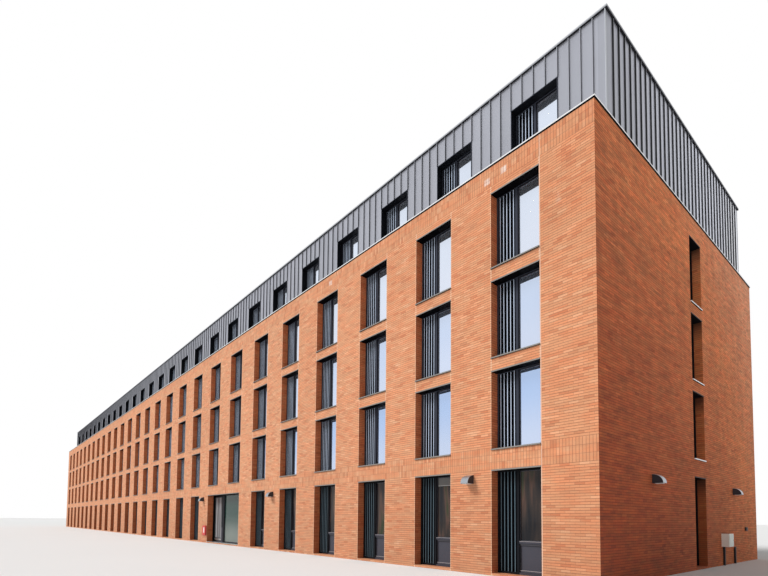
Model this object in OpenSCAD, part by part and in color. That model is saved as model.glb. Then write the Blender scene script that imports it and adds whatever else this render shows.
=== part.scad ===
// Five-storey apartment block, modelled at one tenth of its real size.
// X runs along the long front, Y from the front to the rear, Z up. The entrance front faces -Y.

/* [Plan] */
// Number of window bays along the front
bay_count = 27; // [10:1:32]
// Width of one bay, from one window to the next
bay = 335; // [280:5:400]
// Width of a window opening
window_w = 169; // [120:1:200]
// Width of the brick pier at each end of the front
corner_pier = 163.5; // [120:0.5:240]
// Depth of the brick storeys from front to rear
depth = 1570; // [1300:10:2000]
// Thickness of the outer walls
wall = 55; // [45:1:70]

/* [Heights] */
// Height of one brick course
course = 7.5; // [6.5:0.25:9]
// Height of the ground floor above the lowest point of the walls
ground_level = 7.5; // [5:0.5:15]
// Courses from the ground floor to the head of its openings
ground_head_courses = 42; // [38:1:46]
// Courses from the ground floor to the first-floor sills
first_sill_courses = 50; // [48:1:56]
// Courses from one row of sills to the next
storey_courses = 38; // [37:1:41]
// Courses in the height of an upper window
window_courses = 33; // [26:1:34]
// Courses of brick above the top row of windows
top_courses = 12; // [10:1:18]
// Height of the attic wall above the top of the brick
attic_rise = 348; // [300:2:400]
// Depth of the cladding left above the attic windows
attic_head_depth = 102; // [70:2:140]
// Thickness of a floor slab
slab = 25; // [18:1:32]
// Height of a sill above the floor behind it
sill_upstand = 10; // [5:1:20]

/* [Attic] */
// Distance that the attic wall stands back from the brick front
front_setback = 112; // [80:2:180]
// Distance that the attic wall stands back from the brick gables
gable_setback = 16; // [10:1:30]
// Thickness of the attic walls inside their cladding
attic_wall = 40; // [30:1:60]
// Number of cladding pans in one bay, an even number
pans_per_bay = 8; // [4:2:12]
// Thickness of the flat part of the cladding
pan_t = 3; // [2:0.5:5]
// Height that a standing seam projects from the cladding
seam_out = 4.5; // [2:0.5:6]
// Thickness of a standing seam
seam_w = 2; // [1.5:0.5:4]
// Thickness of the roof slab
roof_t = 30; // [20:1:40]
// Height of the capping along the roof edge
coping_h = 7; // [5:1:15]

/* [Flashing] */
// Distance that the flashing on the brick stands out from the wall
flashing_out = 3; // [2:1:8]
// Height of the flashing on the brick
flashing_t = 4; // [3:1:12]

/* [Windows] */
// Depth of brick reveal in front of a window frame
reveal = 31; // [15:1:35]
// Depth of a window frame from front to back
frame_d = 16; // [12:1:18]
// Width of the frame members seen from the front
frame_w = 7; // [5:0.5:9]
// Width of the centre post between the fins and the glass
post_w = 9; // [7:0.5:12]
// Width of the panel of fins as a share of the opening
fin_share = 0.43; // [0.35:0.01:0.6]
// Number of upright fins in a panel
fin_count = 5; // [3:1:7]
// Width of one fin
fin_w = 3.5; // [3:0.5:6]
// Depth of a fin in front of its backing panel
fin_d = 12; // [6:1:13]
// Thickness of the glass and of the panel behind the fins
pane_t = 3; // [2:0.5:4]
// Height of the mid rail of a ground-floor glazed unit above the floor
mid_rail_z = 92; // [80:2:120]
// Thickness of a sill plate at its front edge
sill_t = 4; // [2:0.5:6]
// Distance that a sill plate projects from the brick
sill_out = 4; // [2:0.5:8]
// Thickness of a sill plate where it meets the frame
sill_back_t = 6.5; // [4:0.5:8]
// Thickness of the steel plate under the brick at the head of an opening
lintel_t = 4; // [2:0.5:6]
// Distance that the lintel plate shows in front of the brick
lintel_out = 1; // [0.5:0.5:3]

/* [Gable] */
// Width of the recess up the middle of a gable
recess_w = 121; // [100:1:160]
// Courses that the gable windows sit above those of the front
recess_lift_courses = 1; // [0:1:2]

/* [Entrance] */
// Bay, counted from the right-hand corner, whose window the entrance starts under
entrance_bay = 7; // [2:1:9]
// Width of the entrance door leaf
door_w = 136; // [90:1:150]
// Width of the solid panel between the door and the fixed glass
entry_panel_w = 45; // [15:1:60]
// Width of the stiles and rails of the door leaf
stile_w = 6; // [5:0.5:12]
// Thickness of the door leaf
door_t = 6; // [4:0.5:7]
// Running gap around the door leaf
door_gap = 2.5; // [2:0.5:4]
// Radius of a hinge barrel
hinge_r = 1.5; // [1:0.25:2.5]
// Number of hinges on the door
hinge_count = 4; // [2:1:5]

/* [Fittings] */
// Length that a wall light stands out from the wall
light_out = 30; // [20:1:35]
// Width of a wall light
light_w = 28; // [20:1:45]
// Width of the meter box
meter_w = 62; // [40:1:80]
// Height of the meter box
meter_h = 51; // [40:1:70]
// Depth of the meter box
meter_d = 25; // [15:1:26]

/* [Hidden] */

length_x = 2 * corner_pier + (bay_count - 1) * bay + window_w;
first_sill = ground_level + first_sill_courses * course;
storey = storey_courses * course;
window_h = window_courses * course;
ground_h = ground_head_courses * course;
brick_top = first_sill + 2 * storey + window_h + top_courses * course;
roof_top = brick_top + attic_rise;
attic_sill = first_sill + 3 * storey;
attic_head = roof_top - attic_head_depth;
recess_y0 = (depth - recess_w) / 2;
recess_y1 = recess_y0 + recess_w;
ledge_out = max(flashing_out, sill_out);
UPPER = [1, 2, 3];
BAYS = [1:bay_count];

// Right and left edge of the opening in bay i, counted from the right-hand corner
function right_jamb(i) = length_x - corner_pier - (i - 1) * bay;
function left_jamb(i) = right_jamb(i) - window_w;
// Foot and head of the openings of storey s, the ground floor being storey 0
function sill_z(s) = s == 0 ? ground_level : first_sill + (s - 1) * storey;
function head_z(s) = sill_z(s) + (s == 0 ? ground_h : window_h);
// True for the two ground-floor bays that the entrance takes up
function is_entrance(i) = i == entrance_bay || i == entrance_bay + 1;

// The origin is at the middle of the underside of the whole block
module place() {
  translate([-(length_x + light_out - ledge_out) / 2, -(depth + ledge_out - light_out) / 2, 0]) children();
}

// A box given by its low and high corner
module block(low, high) {
  translate(low) cube(high - low);
}

// Mirrors what is made for the front on to the rear
module at_rear() {
  translate([0, depth, 0]) mirror([0, 1, 0]) children();
}

// Mirrors what is made for the right-hand gable on to the left-hand one
module at_left() {
  translate([length_x, 0, 0]) mirror([1, 0, 0]) children();
}

// Brick storeys

module wall_piers(with_entrance) {
  for (s = [0:3], j = [0:bay_count])
    if (!(with_entrance && s == 0 && j == entrance_bay)) {
      x0 = j == bay_count ? 0 : right_jamb(j + 1);
      x1 = j == 0 ? length_x : left_jamb(j);
      block([x0, 0, sill_z(s)], [x1, wall, head_z(s)]);
    }
}

module wall_bands() {
  block([0, 0, 0], [length_x, wall, ground_level]);
  for (s = [0:3])
    block([0, 0, head_z(s)], [length_x, wall, s == 3 ? brick_top : sill_z(s + 1)]);
}

module gable_sides() {
  for (y = [[wall, recess_y0], [recess_y1, depth - wall]])
    block([length_x - wall, y[0], 0], [length_x, y[1], brick_top]);
}

// Foot and head of the gable openings of storey s
function recess_sill(s) = sill_z(s) + (s == 0 ? 0 : recess_lift_courses * course);
function recess_head(s) = head_z(s) + recess_lift_courses * course;

module gable_bands() {
  block([length_x - wall, recess_y0, 0], [length_x, recess_y1, ground_level]);
  for (s = [0:3])
    block([length_x - wall, recess_y0, recess_head(s)],
          [length_x, recess_y1, s == 3 ? brick_top : recess_sill(s + 1)]);
}

// The ground slab lies on the ground, and the others span between the walls
module floor_slab(s) {
  top = s == 0 ? ground_level : sill_z(s) - sill_upstand;
  color("silver")
    block([wall, wall, s == 0 ? 0 : top - slab], [length_x - wall, depth - wall, top]);
}

// Attic storey

attic_x0 = gable_setback + pan_t;
attic_x1 = length_x - gable_setback - pan_t;
attic_y0 = front_setback + pan_t;
attic_deck = attic_sill - sill_upstand;
cladding_top = roof_top - coping_h;
plate_z = cladding_top - roof_t;
half_pans = pans_per_bay / 2;
flashing_top = brick_top + flashing_t;
gable_pans = 34;

module attic_wall_piers() {
  for (j = [0:bay_count]) {
    x0 = j == bay_count ? wall : right_jamb(j + 1);
    x1 = j == 0 ? length_x - wall : left_jamb(j);
    block([x0, attic_y0, attic_deck], [x1, attic_y0 + attic_wall, attic_head]);
  }
}

module attic_wall_lintel() {
  block([wall, attic_y0, attic_head], [length_x - wall, attic_y0 + attic_wall, plate_z]);
}

// The attic's end wall stands on the brick gable, flush with its inner face
module attic_gable() {
  block([length_x - wall, attic_y0, brick_top], [attic_x1, depth - attic_y0, plate_z]);
}

// Seams that divide the stretch from a to b into count equal pans
function seams_between(a, b, count) = [for (k = [1:count - 1]) a + k * (b - a) / count];

// Plan of a strip of cladding from a to b: pans from 0 to pan_t, standing seams in front of them
module seamed_plan(a, b, seams) {
  polygon(concat(
    [[b, pan_t], [a, pan_t], [a, 0]],
    [for (c = seams, p = [[-0.5, 0], [-0.5, -1], [0.5, -1], [0.5, 0]])
      [c + p[0] * seam_w, p[1] * seam_out]],
    [[b, 0]]
  ));
}

module front_strip(a, b, z0, z1, seams) {
  translate([0, front_setback, z0])
    linear_extrude(z1 - z0) seamed_plan(a, b, seams);
}

// Ends of the cladding strip on pier j, the pier at the right-hand corner being pier 0
function strip_start(j) = j == bay_count ? gable_setback : right_jamb(j + 1);
function strip_end(j) = j == 0 ? length_x - gable_setback : left_jamb(j);

// Cladding between the windows, notched at both ends over the brick gables
module pier_strips() {
  notch_w = wall + flashing_out;
  difference() {
    for (j = [0:bay_count])
      front_strip(strip_start(j), strip_end(j), attic_deck, attic_head,
                  seams_between(strip_start(j), strip_end(j), half_pans));
    for (x = [0, length_x - notch_w])
      block([x, 0, attic_deck - 1], [x + notch_w, depth, flashing_top]);
  }
}

module head_strip() {
  window_seams = [for (i = [bay_count:-1:1]) each concat(
    seams_between(strip_start(i), strip_end(i), half_pans),
    [left_jamb(i)], seams_between(left_jamb(i), right_jamb(i), half_pans), [right_jamb(i)])];
  front_strip(gable_setback, length_x - gable_setback, attic_head, cladding_top,
              concat(window_seams, seams_between(strip_start(0), strip_end(0), half_pans)));
}

module gable_strip() {
  run = depth - 2 * attic_y0;
  translate([length_x - gable_setback, attic_y0, flashing_top])
    rotate([0, 0, 90])
      linear_extrude(cladding_top - flashing_top)
        seamed_plan(0, run, seams_between(0, run, gable_pans));
}

// Distance that the coping stands out beyond the seams
coping_out = 2;

module coping_ring() {
  out = seam_out + coping_out;
  difference() {
    block([gable_setback - out, front_setback - out, cladding_top],
          [length_x - gable_setback + out, depth - front_setback + out, roof_top]);
    block([gable_setback + attic_wall, front_setback + attic_wall, cladding_top - 1],
          [length_x - gable_setback - attic_wall, depth - front_setback - attic_wall, roof_top + 1]);
  }
}

// Covers the front and rear parapets and the narrow ledge in front of the cladding on the gables
module flashing_ring() {
  inner = wall + flashing_out;
  difference() {
    block([-flashing_out, -flashing_out, brick_top],
          [length_x + flashing_out, depth + flashing_out, flashing_top]);
    block([inner, inner, brick_top - 1], [length_x - inner, depth - inner, flashing_top + 1]);
    block([gable_setback, front_setback, brick_top - 1],
          [length_x - gable_setback, depth - front_setback, flashing_top + 1]);
  }
}

// Windows

// Left and right edge of the centre post of window i
function post_left(i) = left_jamb(i) + fin_share * window_w - post_w / 2;
function post_right(i) = post_left(i) + post_w;

// A plate of frame from low to high, seen from the front, with holes given by their corners
module frame_plate(low, high, y, holes) {
  translate([0, y + frame_d, 0]) rotate([90, 0, 0])
    linear_extrude(frame_d)
      difference() {
        translate(low) square(high - low);
        for (h = holes) translate([h[0], h[1]]) square([h[2] - h[0], h[3] - h[1]]);
      }
}

module window_frame(i, z0, z1, y, with_rail) {
  foot = z0 + frame_w;
  head = z1 - frame_w;
  rail = z0 + mid_rail_z;
  side = right_jamb(i) - frame_w;
  glazing = with_rail
    ? [[post_right(i), rail + frame_w, side, head], [post_right(i), foot, side, rail]]
    : [[post_right(i), foot, side, head]];
  frame_plate([left_jamb(i), z0], [right_jamb(i), z1], y,
              concat([[left_jamb(i) + frame_w, foot, post_left(i), head]], glazing));
}

// Panel of upright fins in the left-hand half of a window, its back in line with the frame's
module fin_panel(i, z0, z1, y) {
  a = left_jamb(i) + frame_w;
  b = post_left(i);
  pitch = (b - a) / fin_count;
  translate([0, y + frame_d, z0 + frame_w])
    linear_extrude(z1 - z0 - 2 * frame_w)
      polygon(concat(
        [[b, 0], [a, 0], [a, -pane_t]],
        [for (k = [0:fin_count - 1], p = [[-0.5, 0], [-0.5, -1], [0.5, -1], [0.5, 0]])
          [a + (k + 0.5) * pitch + p[0] * fin_w, p[1] * fin_d - pane_t]],
        [[b, -pane_t]]
      ));
}

// Flat panels that close the left-hand half of a rear window, and the right-hand half below the rail
module flat_panels(i, z0, z1, with_rail) {
  y = reveal + frame_d - pane_t;
  block([left_jamb(i) + frame_w, y, z0 + frame_w], [post_left(i), y + pane_t, z1 - frame_w]);
  if (with_rail)
    block([post_right(i), y, z0 + frame_w],
          [right_jamb(i) - frame_w, y + pane_t, z0 + mid_rail_z]);
}

module window_pane(i, z0, z1, y) {
  y_glass = y + (frame_d - pane_t) / 2;
  block([post_right(i), y_glass, z0], [right_jamb(i) - frame_w, y_glass + pane_t, z1]);
}

// Storey and bay of every window in the brick storeys
function wall_windows(with_entrance) =
  [for (s = [0:3], i = BAYS) if (!(with_entrance && s == 0 && is_entrance(i))) [s, i]];

module wall_frames(with_entrance) {
  for (w = wall_windows(with_entrance))
    window_frame(w[1], sill_z(w[0]), head_z(w[0]), reveal, w[0] == 0);
}

module panelled_frames() {
  wall_frames(false);
  for (w = wall_windows(false)) flat_panels(w[1], sill_z(w[0]), head_z(w[0]), w[0] == 0);
}

// Finned panels, and the solid panels below the mid rail of the ground-floor units
module front_panels() {
  for (w = wall_windows(true)) {
    fin_panel(w[1], sill_z(w[0]), head_z(w[0]), reveal);
    if (w[0] == 0)
      window_pane(w[1], ground_level + frame_w, ground_level + mid_rail_z, reveal);
  }
}

module wall_panes(with_entrance) {
  for (w = wall_windows(with_entrance))
    window_pane(w[1], sill_z(w[0]) + (w[0] == 0 ? mid_rail_z : 0) + frame_w,
                head_z(w[0]) - frame_w, reveal);
}

// Metal sill plate from x0 to x1 that falls from the frame, at depth back, to the wall's face
module sill_plate(x0, x1, z, back) {
  translate([x0, 0, z]) rotate([90, 0, 90])
    linear_extrude(x1 - x0)
      polygon([[-sill_out, 0], [back, 0], [back, sill_back_t], [-sill_out, sill_t]]);
}

module lintel_plate(x0, x1, z, back) {
  block([x0, -lintel_out, z - lintel_t], [x1, back, z]);
}

module wall_sills() {
  for (s = UPPER, i = BAYS) sill_plate(left_jamb(i), right_jamb(i), sill_z(s), reveal);
}

module wall_lintels() {
  for (w = wall_windows(true))
    lintel_plate(left_jamb(w[1]), right_jamb(w[1]), head_z(w[0]), reveal);
  lintel_plate(entrance_x0, entrance_x1, entrance_head, entrance_reveal);
}

attic_frame_y = attic_y0 + attic_wall - frame_d;

module attic_window_frames() {
  for (i = BAYS) window_frame(i, attic_deck, attic_head, attic_frame_y, false);
}

module lined_attic_frames() {
  attic_window_frames();
  attic_window_linings();
}

module attic_window_fins() {
  for (i = BAYS) fin_panel(i, attic_deck, attic_head, attic_frame_y);
}

module attic_window_panes() {
  for (i = BAYS) window_pane(i, attic_deck + frame_w, attic_head - frame_w, attic_frame_y);
}

// Thickness of the metal lining of an attic opening, and its distance in front of the cladding
lining_t = 2.5;
lining_out = 2;

// Metal linings of the openings in front of the attic windows
module attic_window_linings() {
  for (i = BAYS)
    translate([0, attic_frame_y, 0]) rotate([90, 0, 0])
      linear_extrude(attic_frame_y - front_setback + lining_out)
        difference() {
          translate([left_jamb(i), attic_deck]) square([window_w, attic_head - attic_deck]);
          translate([left_jamb(i) + lining_t, attic_deck + lining_t])
            square([window_w - 2 * lining_t, attic_head - attic_deck - 2 * lining_t]);
        }
}

// Windows in the recess up the middle of a gable

gable_frame_y = wall - frame_d;

// Turns what is drawn along X and set back along Y on to the right-hand gable
module on_gable() {
  translate([length_x, 0, 0]) rotate([0, 0, 90]) children();
}

module gable_window_frames() {
  for (s = [0:3])
    on_gable() frame_plate([recess_y0, recess_sill(s)], [recess_y1, recess_head(s)], gable_frame_y,
      [[recess_y0 + frame_w, recess_sill(s) + frame_w, recess_y1 - frame_w, recess_head(s) - frame_w]]);
}

module gable_window_panes() {
  y_glass = gable_frame_y + (frame_d - pane_t) / 2;
  for (s = [0:3])
    on_gable() block([recess_y0 + frame_w, y_glass, recess_sill(s) + frame_w],
                     [recess_y1 - frame_w, y_glass + pane_t, recess_head(s) - frame_w]);
}

module gable_window_trim() on_gable() {
  for (s = UPPER) sill_plate(recess_y0, recess_y1, recess_sill(s), gable_frame_y);
  for (s = [0:3]) lintel_plate(recess_y0, recess_y1, recess_head(s), gable_frame_y);
}

// Entrance

entrance_x0 = left_jamb(entrance_bay + 1);
entrance_x1 = right_jamb(entrance_bay);
entrance_head = ground_level + ground_h;
entrance_reveal = wall - frame_d;
door_x0 = entrance_x0 + frame_w + door_gap;
door_x1 = door_x0 + door_w;
door_z0 = ground_level + frame_w + door_gap;
door_z1 = entrance_head - frame_w - door_gap;
door_back = wall;
bottom_rail = 3 * stile_w;
screen_x0 = door_x1 + door_gap + entry_panel_w;

module entrance_screen() {
  foot = ground_level + frame_w;
  head = entrance_head - frame_w;
  frame_plate([entrance_x0, ground_level], [entrance_x1, entrance_head], entrance_reveal,
    [[entrance_x0 + frame_w, foot, door_x1 + door_gap, head],
     [screen_x0, foot, entrance_x1 - frame_w, head]]);
}

module entrance_glass() {
  y_glass = entrance_reveal + (frame_d - pane_t) / 2;
  block([screen_x0, y_glass, ground_level + frame_w],
        [entrance_x1 - frame_w, y_glass + pane_t, entrance_head - frame_w]);
}

module door_leaf() {
  translate([0, door_back, 0]) rotate([90, 0, 0])
    linear_extrude(door_t)
      difference() {
        translate([door_x0, door_z0]) square([door_w, door_z1 - door_z0]);
        translate([door_x0 + stile_w, door_z0 + bottom_rail])
          square([door_w - 2 * stile_w, door_z1 - door_z0 - bottom_rail - stile_w]);
      }
}

module door_pane() {
  y_glass = door_back - (door_t + pane_t) / 2;
  block([door_x0 + stile_w, y_glass, door_z0 + bottom_rail],
        [door_x1 - stile_w, y_glass + pane_t, door_z1 - stile_w]);
}

// Hinge barrels stand on the inner face of the frame, on the line about which the leaf turns
hinge_x = door_x0 - door_gap / 2;
hinge_y = door_back + hinge_r;
hinge_h = 12;
hinge_leaf_w = 5;
hinge_leaf_t = 1;

module hinge_barrels() {
  step = (door_z1 - door_z0 - 2 * stile_w - hinge_h) / (hinge_count - 1);
  for (k = [0:hinge_count - 1]) {
    z = door_z0 + stile_w + k * step;
    translate([hinge_x, hinge_y, z]) cylinder(h = hinge_h, r = hinge_r, $fn = 32);
    block([hinge_x - hinge_leaf_w, door_back, z],
          [hinge_x - hinge_r / 2, door_back + hinge_leaf_t, z + hinge_h]);
  }
}

handle_r = 1.2;
bracket_r = 1;
handle_stand = 5;
handle_foot = 95;
handle_head = 160;
handle_inset = 8;

module pull_handle() {
  x = door_x1 - stile_w / 2;
  y = door_back - door_t - handle_stand;
  translate([x, y, ground_level + handle_foot])
    cylinder(h = handle_head - handle_foot, r = handle_r, $fn = 24);
  for (z = [handle_foot + handle_inset, handle_head - handle_inset])
    translate([x, y, ground_level + z])
      rotate([-90, 0, 0]) cylinder(h = handle_stand, r = bracket_r, $fn = 24);
}

// Fittings on the walls

light_h = 27;
light_top = 310;
light_steps = 12;
near_light_y = 355;
far_light_y = 1206;
lit_piers = [1, 5, entrance_bay + 1];

// A quarter-round light on a wall whose face is at y = 0, centred at x
module wall_light(x) {
  turn = 90 / light_steps;
  translate([x - light_w / 2, 0, light_top - light_h])
    rotate([90, 0, 90])
      linear_extrude(light_w)
        polygon(concat([[0, 0]],
          [for (k = [0:light_steps]) [-light_out * cos(k * turn), light_h * sin(k * turn)]]));
}

meter_y = 1020;
meter_z = 73;
duct_w = 7;
duct_inset = 16;
pipe_y = 1184;
pipe_h = 60;
vent_y = 1362;
vent_z = 132;
vent_w = 24;
vent_h = 16;
vent_d = 6;

// Meter box with a duct below it, a pipe that rises beside it, and a small vent
module meter_cabinet() {
  on_gable() {
    block([meter_y, -meter_d, meter_z], [meter_y + meter_w, 0, meter_z + meter_h]);
    block([meter_y + duct_inset, -duct_w, 0], [meter_y + duct_inset + duct_w, 0, meter_z]);
    block([pipe_y, -duct_w, 0], [pipe_y + duct_w, 0, pipe_h]);
    block([vent_y, -vent_d, vent_z], [vent_y + vent_w, 0, vent_z + vent_h]);
  }
}

riser_w = 58;
riser_h = 66;
riser_z = 50;
riser_d = 8;
riser_inset = 5;

module riser_box() {
  x = entrance_x0 - riser_inset - riser_w;
  block([x, -riser_d, riser_z], [x + riser_w, 0, riser_z + riser_h]);
}

module front_piers() color("chocolate") place() wall_piers(true);
module front_bands() color("chocolate") place() wall_bands();
module rear_piers() color("chocolate") place() at_rear() wall_piers(false);
module rear_bands() color("chocolate") place() at_rear() wall_bands();
module right_gable_sides() color("sienna") place() gable_sides();
module right_gable_bands() color("sienna") place() gable_bands();
module left_gable_sides() color("sienna") place() at_left() gable_sides();
module left_gable_bands() color("sienna") place() at_left() gable_bands();
module ground_floor() place() floor_slab(0);
module first_floor() place() floor_slab(1);
module second_floor() place() floor_slab(2);
module third_floor() place() floor_slab(3);
module attic_floor() place() floor_slab(4);
module attic_piers() color("gray") place() {
  attic_wall_piers();
  at_rear() attic_wall_piers();
}
module attic_lintels() color("gray") place() {
  attic_wall_lintel();
  at_rear() attic_wall_lintel();
}
module attic_end_walls() color("gray") place() {
  attic_gable();
  at_left() attic_gable();
}
module pier_cladding() color("lightslategray") place() {
  pier_strips();
  at_rear() pier_strips();
}
module head_cladding() color("lightslategray") place() {
  head_strip();
  at_rear() head_strip();
}
module gable_cladding() color("lightslategray") place() {
  gable_strip();
  at_left() gable_strip();
}
module roof_slab() color("dimgray") place()
  block([attic_x0, attic_y0, plate_z], [attic_x1, depth - attic_y0, cladding_top]);
module roof_coping() color("slategray") place() coping_ring();
module parapet_flashing() color("gainsboro") place() flashing_ring();
module front_frames() color("darkslategray") place() wall_frames(true);
module front_fins() color("darkslategray") place() front_panels();
module front_panes() color("lightblue", 0.5) place() wall_panes(true);
module front_trim() color("dimgray") place() {
  wall_sills();
  wall_lintels();
}
module rear_frames() color("darkslategray") place() at_rear() panelled_frames();
module rear_panes() color("lightblue", 0.5) place() at_rear() wall_panes(false);
module rear_sills() color("gray") place() at_rear() wall_sills();
module attic_frames() color("darkslategray") place() {
  lined_attic_frames();
  at_rear() lined_attic_frames();
}
module attic_fins() color("darkslategray") place() {
  attic_window_fins();
  at_rear() attic_window_fins();
}
module attic_panes() color("lightblue", 0.5) place() {
  attic_window_panes();
  at_rear() attic_window_panes();
}
module gable_frames() color("darkslategray") place() {
  gable_window_frames();
  at_left() gable_window_frames();
}
module gable_panes() color("lightblue", 0.5) place() {
  gable_window_panes();
  at_left() gable_window_panes();
}
module gable_trim() color("gainsboro") place() {
  gable_window_trim();
  at_left() gable_window_trim();
}
module entrance_frame() color("darkslategray") place() entrance_screen();
module entrance_pane() color("lightblue", 0.5) place() entrance_glass();
module door_hinges() color("silver") place() hinge_barrels();
module entrance_door() color("darkslategray") place() door_leaf();
module door_glass() color("lightblue", 0.5) place() door_pane();
module door_handle() color("silver") place() pull_handle();
module wall_lights() color("silver") place() {
  for (j = lit_piers) wall_light(left_jamb(j) - (bay - window_w) / 2);
  on_gable() for (y = [near_light_y, far_light_y]) wall_light(y);
}
module meter_box() color("lightgray") place() meter_cabinet();
module riser_cabinet() color("firebrick") place() riser_box();

front_piers();
front_bands();
rear_piers();
rear_bands();
right_gable_sides();
right_gable_bands();
left_gable_sides();
left_gable_bands();
ground_floor();
first_floor();
second_floor();
third_floor();
attic_floor();
attic_piers();
attic_lintels();
attic_end_walls();
pier_cladding();
head_cladding();
gable_cladding();
roof_slab();
roof_coping();
parapet_flashing();
front_frames();
front_fins();
front_panes();
front_trim();
rear_frames();
rear_panes();
rear_sills();
attic_frames();
attic_fins();
attic_panes();
gable_frames();
gable_panes();
gable_trim();
entrance_frame();
entrance_pane();
door_hinges();
entrance_door();
door_glass();
door_handle();
wall_lights();
meter_box();
riser_cabinet();
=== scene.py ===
"""Finishes and small parts of the apartment block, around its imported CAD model.

All lengths are in metres at one tenth of the real size. X runs along the front, Y from the front to
the rear and Z up. Bays are counted from the right-hand corner and storeys from the ground.
"""

import math

import bmesh
import bpy
from bpy.props import FloatProperty, FloatVectorProperty, IntProperty, PointerProperty
from bpy.types import Operator, Panel, PropertyGroup
from mathutils import Matrix, Vector


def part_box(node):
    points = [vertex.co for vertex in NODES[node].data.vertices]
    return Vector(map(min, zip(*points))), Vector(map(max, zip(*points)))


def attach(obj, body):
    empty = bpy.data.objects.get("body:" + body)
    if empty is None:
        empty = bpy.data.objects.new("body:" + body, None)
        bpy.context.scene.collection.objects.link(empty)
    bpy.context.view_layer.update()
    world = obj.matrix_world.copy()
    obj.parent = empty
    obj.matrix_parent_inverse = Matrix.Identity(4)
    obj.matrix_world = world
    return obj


bl_info = {
    "name": "Apartment Block Finishes",
    "version": (1, 0, 0),
    "blender": (4, 5, 0),
    "location": "3D Viewport > Sidebar > Block",
    "description": "Brick, zinc, glass and fittings for the apartment block",
    "category": "Object",
}

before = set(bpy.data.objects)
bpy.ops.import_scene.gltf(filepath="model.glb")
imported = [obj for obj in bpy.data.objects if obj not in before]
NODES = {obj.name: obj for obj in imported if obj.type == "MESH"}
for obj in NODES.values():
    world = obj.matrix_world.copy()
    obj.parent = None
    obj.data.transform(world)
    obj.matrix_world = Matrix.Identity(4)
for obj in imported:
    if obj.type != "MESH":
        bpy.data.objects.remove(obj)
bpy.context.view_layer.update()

FRONT_LOW, FRONT_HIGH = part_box("front_bands")
REAR_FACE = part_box("rear_bands")[1].y
FRONT_FACE = FRONT_LOW.y
LEFT_END, RIGHT_END = FRONT_LOW.x, FRONT_HIGH.x
BRICK_TOP = FRONT_HIGH.z
WALL = 0.055
BRICK_STOREYS, ATTIC = (0, 1, 2, 3), 4
ATTIC_FOOT, ATTIC_HEAD = (corner.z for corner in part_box("attic_frames"))
QUARTER_TURN = math.radians(90)

FIN_SHARE, FIN_EDGE = 0.43, 0.0010
# Depths behind the front face
FIN_FACE, GLASS_FACE, PANEL_FACE = 0.032, 0.0375, 0.044
MID_RAIL = 0.092
BEAD_W, BEAD_T = 0.0022, 0.0018
RAIL_H, RAIL_OUT, RAIL_HIGHLIGHT = 0.0055, 0.003, 0.0014
ENTRANCE_BAYS = (7, 8)
BLIND_BAY, BLIND_DROP = 2, 0.03

JOINT_W, JOINT_OUT, JOINT_INSET = 0.0022, 0.0004, 0.0022
# Painted shade on brick faces that face right, lighter higher up
REVEAL_SHADE_TINT = (0.98, 0.66, 0.48)
# Painted light and shade on the right-hand gable, from its dark near foot to its lit far top
END_LIGHT_AND_SHADE = ((0.47, 0.17, 0.04), (1.08, 0.76, 0.50), (1.28, 1.28, 1.40))
# Painted light: the front grows paler and bluer away from the right-hand end
DISTANT_LIGHT_TINT, DISTANT_REACH = (1.03, 1.13, 1.22), 1.8
# Distance from the right-hand end and from the brick top
SALT_SPOTS = ((0.285, 0.038), (0.347, 0.045), (1.228, 0.040))
SALT_W, SALT_H = 0.012, 0.011

PANS, GABLE_PANS = 4, 34
GABLE_SETBACK, FRONT_SETBACK = 0.016, 0.112
ANGLE_IN, ANGLE_OUT = (0.0009, 0.0048), (0.0005, 0.002)
DRIP_OUT, DRIP_H = 0.0007, 0.0032
# Height of the painted highlight on the coping's upper rim
COPING_HIGHLIGHT = 0.003

LIT_PIERS, GABLE_LIGHTS = (1, 5, 8), (0.355, 1.206)
LIGHT_OUT, LIGHT_W, LIGHT_H, LIGHT_TOP = 0.030, 0.028, 0.027, 0.310
LAMP_SHEET, LAMP_LAP = 0.0007, 0.0003
LENS_T, LENS_HALF, LENS_REACH = 0.0012, 0.4, (0.85, 0.2)

# On the gable, Y counts from the front face
RECESS = (0.7245, 0.8455)
GABLE_GLASS = 0.0455
LINING_IN, LINING_T = 0.0275, 0.0012

METER_Y, METER_FOOT, METER_D, METER_W, METER_H = 1.020, 0.073, 0.025, 0.062, 0.051
METER_INSET, METER_DOOR_T = 0.004, 0.0012
LOCK_IN, LOCK_R, LOCK_T = 0.012, 0.0022, 0.001
DUCT_W = 0.007
DUCT_Y, DUCT_TOP = 1.036, 0.073
PIPE_Y, PIPE_TOP = 1.184, 0.060
CLIP_SHARES, CLIP_LAP, CLIP_OUT, CLIP_H = (0.25, 0.78), 0.001, 0.0008, 0.003
ELBOW_R, ELBOW_REACH, ELBOW_LAP = 0.56 * DUCT_W, 0.9 * DUCT_W, 0.001
VENT_D, VENT_W, VENT_H = 0.006, 0.024, 0.016
LOUVRE_T, LOUVRE_INSET = 0.0012, 0.0015

THRESHOLD_OUT, THRESHOLD_H = 0.002, 0.002
KICK_MARGIN, KICK_T, KICK_H = 0.002, 0.0008, 0.015
RISER_LIP, RISER_DOOR_T = 0.004, 0.001
LABEL_T, LABEL_X, LABEL_Z = 0.0015, (-0.006, 0.010), (0.018, -0.012)
SOFT, SOFT_THIN, SOFT_WIDE = 0.0004, 0.0003, 0.0005

DARK_METAL, ENAMEL = "anthracite_metal", "grey_enamel"
DUCT_BLACK = (0.006, 0.006, 0.008)
# Painted shade in the gable's recess and behind its glass
RECESS_SHADE = (0.010, 0.010, 0.012)
# Painted shade on the undersides of trims and lintel plates
UNDERSIDE_SHADE = (0.008, 0.008, 0.010)

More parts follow.
